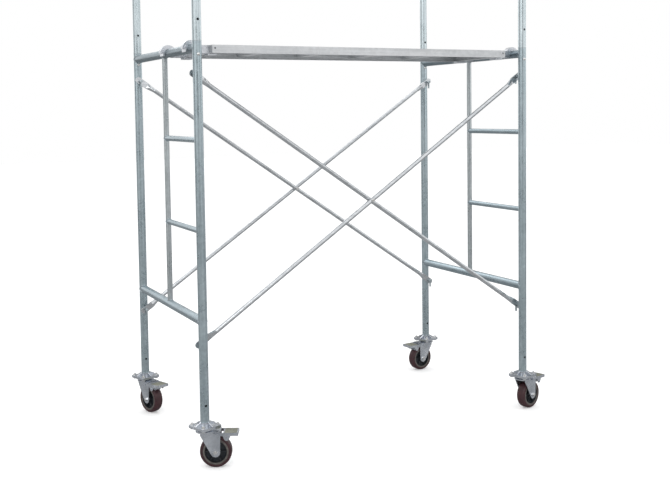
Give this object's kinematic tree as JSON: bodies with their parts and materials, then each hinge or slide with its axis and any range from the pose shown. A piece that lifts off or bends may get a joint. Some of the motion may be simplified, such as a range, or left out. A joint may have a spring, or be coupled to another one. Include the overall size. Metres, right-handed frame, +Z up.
{
  "type": "rolling frame scaffold",
  "caption": "Rolling scaffold bay: two tubular ladder end frames on braked swivel casters, joined by crossed braces, with a hook-on steel plank and the posts of the next lift started.",
  "frame": {"origin": "on the floor (Z = 0), midway between the four post axes", "axes": "+Z up; +X along the bay from the left end frame to the right; +Y across it from the front (plank side) to the back"},
  "size_m": [2.0579, 1.1722, 2.335],
  "materials": {
    "galvanised_tube": "hot-dip galvanised tube, satin with a faint spangle",
    "bright_brace_tube": "bright zinc-plated thin tube, smoother and glossier",
    "plank_sheet": "pre-galvanised pressed sheet, satin",
    "zinc_pressings": "zinc-plated pressed steel, semi-bright",
    "fasteners": "zinc-plated bolts, nuts and rivets",
    "wheel_core": "dark painted casting, satin",
    "tyre_tread": "dark maroon polyurethane, satin"
  },
  "bodies": {
    "frame": {"front_left_post": "galvanised_tube", "front_left_upper_post": "galvanised_tube", "front_right_post": "galvanised_tube", "front_right_upper_post": "galvanised_tube", "back_left_post": "galvanised_tube", "back_left_upper_post": "galvanised_tube", "back_right_post": "galvanised_tube", "back_right_upper_post": "galvanised_tube", "left_top_rail": "galvanised_tube", "left_bottom_rail": "galvanised_tube", "left_centre_upright": "galvanised_tube", "left_rungs": "galvanised_tube", "right_top_rail": "galvanised_tube", "right_bottom_rail": "galvanised_tube", "right_centre_upright": "galvanised_tube", "right_rungs": "galvanised_tube", "coupling_pins": "galvanised_tube", "coupling_rivets": "fasteners", "brace_studs": "galvanised_tube", "front_falling_brace": "bright_brace_tube", "front_rising_brace": "bright_brace_tube", "back_falling_brace": "bright_brace_tube", "back_rising_brace": "bright_brace_tube", "brace_pivot_bolts": "fasteners", "leg_sockets": "zinc_pressings", "caster_top_plates": "zinc_pressings", "swivel_kingpins": "fasteners", "plate_bolts": "fasteners", "hex_nuts": "fasteners"},
    "plank": {"plank_deck": "plank_sheet", "plank_end_channels": "plank_sheet", "plank_hooks": "plank_sheet"},
    "front_left_swivel": {"front_left_fork": "zinc_pressings", "front_left_axle_bolt": "fasteners"},
    "front_left_wheel": {"front_left_wheel_core": "wheel_core", "front_left_tyre": "tyre_tread"},
    "front_left_pedal": {"front_left_brake_pedal": "zinc_pressings"},
    "front_right_swivel": {"front_right_fork": "zinc_pressings", "front_right_axle_bolt": "fasteners"},
    "front_right_wheel": {"front_right_wheel_core": "wheel_core", "front_right_tyre": "tyre_tread"},
    "front_right_pedal": {"front_right_brake_pedal": "zinc_pressings"},
    "back_left_swivel": {"back_left_fork": "zinc_pressings", "back_left_axle_bolt": "fasteners"},
    "back_left_wheel": {"back_left_wheel_core": "wheel_core", "back_left_tyre": "tyre_tread"},
    "back_left_pedal": {"back_left_brake_pedal": "zinc_pressings"},
    "back_right_swivel": {"back_right_fork": "zinc_pressings", "back_right_axle_bolt": "fasteners"},
    "back_right_wheel": {"back_right_wheel_core": "wheel_core", "back_right_tyre": "tyre_tread"},
    "back_right_pedal": {"back_right_brake_pedal": "zinc_pressings"},
    "front_left_upper_latch": {"front_left_upper_latch": "bright_brace_tube"},
    "front_left_lower_latch": {"front_left_lower_latch": "bright_brace_tube"},
    "front_right_upper_latch": {"front_right_upper_latch": "bright_brace_tube"},
    "front_right_lower_latch": {"front_right_lower_latch": "bright_brace_tube"},
    "back_left_upper_latch": {"back_left_upper_latch": "bright_brace_tube"},
    "back_left_lower_latch": {"back_left_lower_latch": "bright_brace_tube"},
    "back_right_upper_latch": {"back_right_upper_latch": "bright_brace_tube"},
    "back_right_lower_latch": {"back_right_lower_latch": "bright_brace_tube"}
  },
  "joints": [
    {"name": "plank_lift_off", "type": "slide", "parent": "frame", "child": "plank", "axis": [0, 0, 1], "range_m": [0, 0.12]},
    {"name": "front_left_swivel_turn", "type": "hinge", "parent": "frame", "child": "front_left_swivel", "pos_m": [-0.9145, -0.5, 0.169], "axis": [0, 0, 1], "continuous": true},
    {"name": "front_left_wheel_roll", "type": "hinge", "parent": "front_left_swivel", "child": "front_left_wheel", "pos_m": [-0.86975, -0.52231, 0.075], "axis": [0.4462, 0.8949, 0], "continuous": true},
    {"name": "front_left_brake_press", "type": "hinge", "parent": "front_left_swivel", "child": "front_left_pedal", "pos_m": [-0.87423, -0.52008, 0.161], "axis": [0.4462, 0.8949, 0], "range_deg": [0, 5]},
    {"name": "front_right_swivel_turn", "type": "hinge", "parent": "frame", "child": "front_right_swivel", "pos_m": [0.9145, -0.5, 0.169], "axis": [0, 0, 1], "continuous": true},
    {"name": "front_right_wheel_roll", "type": "hinge", "parent": "front_right_swivel", "child": "front_right_wheel", "pos_m": [0.96219, -0.48496, 0.075], "axis": [-0.3007, 0.9537, 0], "continuous": true},
    {"name": "front_right_brake_press", "type": "hinge", "parent": "front_right_swivel", "child": "front_right_pedal", "pos_m": [0.95742, -0.48647, 0.161], "axis": [-0.3007, 0.9537, 0], "range_deg": [0, 5]},
    {"name": "back_left_swivel_turn", "type": "hinge", "parent": "frame", "child": "back_left_swivel", "pos_m": [-0.9145, 0.5, 0.169], "axis": [0, 0, 1], "continuous": true},
    {"name": "back_left_wheel_roll", "type": "hinge", "parent": "back_left_swivel", "child": "back_left_wheel", "pos_m": [-0.8974, 0.45302, 0.075], "axis": [0.9397, 0.342, 0], "continuous": true},
    {"name": "back_left_brake_press", "type": "hinge", "parent": "back_left_swivel", "child": "back_left_pedal", "pos_m": [-0.89911, 0.45771, 0.161], "axis": [0.9397, 0.342, 0], "range_deg": [0, 5]},
    {"name": "back_right_swivel_turn", "type": "hinge", "parent": "frame", "child": "back_right_swivel", "pos_m": [0.9145, 0.5, 0.169], "axis": [0, 0, 1], "continuous": true},
    {"name": "back_right_wheel_roll", "type": "hinge", "parent": "back_right_swivel", "child": "back_right_wheel", "pos_m": [0.86499, 0.49304, 0.075], "axis": [0.1392, -0.9903, 0], "continuous": true},
    {"name": "back_right_brake_press", "type": "hinge", "parent": "back_right_swivel", "child": "back_right_pedal", "pos_m": [0.86994, 0.49374, 0.161], "axis": [0.1392, -0.9903, 0], "range_deg": [0, 5]},
    {"name": "front_left_upper_latch_flip", "type": "hinge", "parent": "frame", "child": "front_left_upper_latch", "pos_m": [-0.9145, -0.443, 1.821], "axis": [1, 0, 0], "range_deg": [0, 90]},
    {"name": "front_left_lower_latch_flip", "type": "hinge", "parent": "frame", "child": "front_left_lower_latch", "pos_m": [-0.9145, -0.443, 0.571], "axis": [1, 0, 0], "range_deg": [0, 90]},
    {"name": "front_right_upper_latch_flip", "type": "hinge", "parent": "frame", "child": "front_right_upper_latch", "pos_m": [0.9145, -0.443, 1.821], "axis": [1, 0, 0], "range_deg": [0, 90]},
    {"name": "front_right_lower_latch_flip", "type": "hinge", "parent": "frame", "child": "front_right_lower_latch", "pos_m": [0.9145, -0.443, 0.571], "axis": [1, 0, 0], "range_deg": [0, 90]},
    {"name": "back_left_upper_latch_flip", "type": "hinge", "parent": "frame", "child": "back_left_upper_latch", "pos_m": [-0.9145, 0.443, 1.821], "axis": [-1, 0, 0], "range_deg": [0, 90]},
    {"name": "back_left_lower_latch_flip", "type": "hinge", "parent": "frame", "child": "back_left_lower_latch", "pos_m": [-0.9145, 0.443, 0.571], "axis": [-1, 0, 0], "range_deg": [0, 90]},
    {"name": "back_right_upper_latch_flip", "type": "hinge", "parent": "frame", "child": "back_right_upper_latch", "pos_m": [0.9145, 0.443, 1.821], "axis": [-1, 0, 0], "range_deg": [0, 90]},
    {"name": "back_right_lower_latch_flip", "type": "hinge", "parent": "frame", "child": "back_right_lower_latch", "pos_m": [0.9145, 0.443, 0.571], "axis": [-1, 0, 0], "range_deg": [0, 90]}
  ]
}
